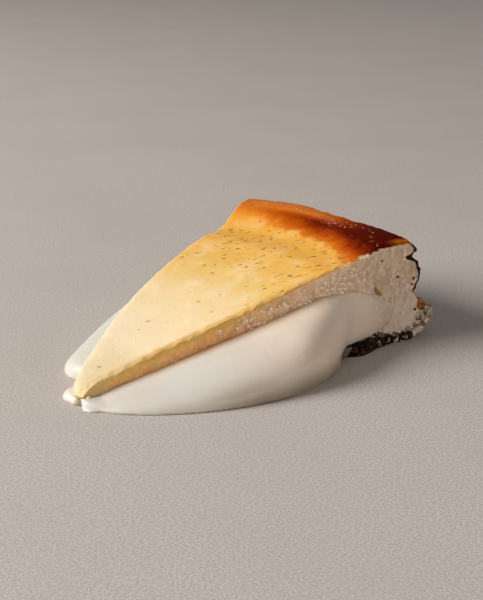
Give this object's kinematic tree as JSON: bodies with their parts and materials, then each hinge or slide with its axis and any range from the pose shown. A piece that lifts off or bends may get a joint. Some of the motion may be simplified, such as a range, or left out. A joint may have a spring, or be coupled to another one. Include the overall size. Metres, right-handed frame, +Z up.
{
  "type": "basque cheesecake slice",
  "caption": "Wedge of burnt-top cheesecake with a raised browned rim, a wrinkled wall and a molten centre that has run out of both cut sides into a low pool.",
  "frame": {"origin": "middle of the outline, on the surface that the slice stands on", "axes": "+X from the tip to the rim along the middle of the slice, +Y to the far cut side, +Z up"},
  "size_m": [0.1239, 0.0806, 0.0358],
  "materials": {
    "baked_custard": "satin golden skin, dark brown at the rim, matte porous curd at the cuts",
    "molten_custard": "smooth wet cream"
  },
  "bodies": {
    "root": {"baked_cake": "baked_custard", "molten_centre": "molten_custard"}
  },
  "joints": []
}
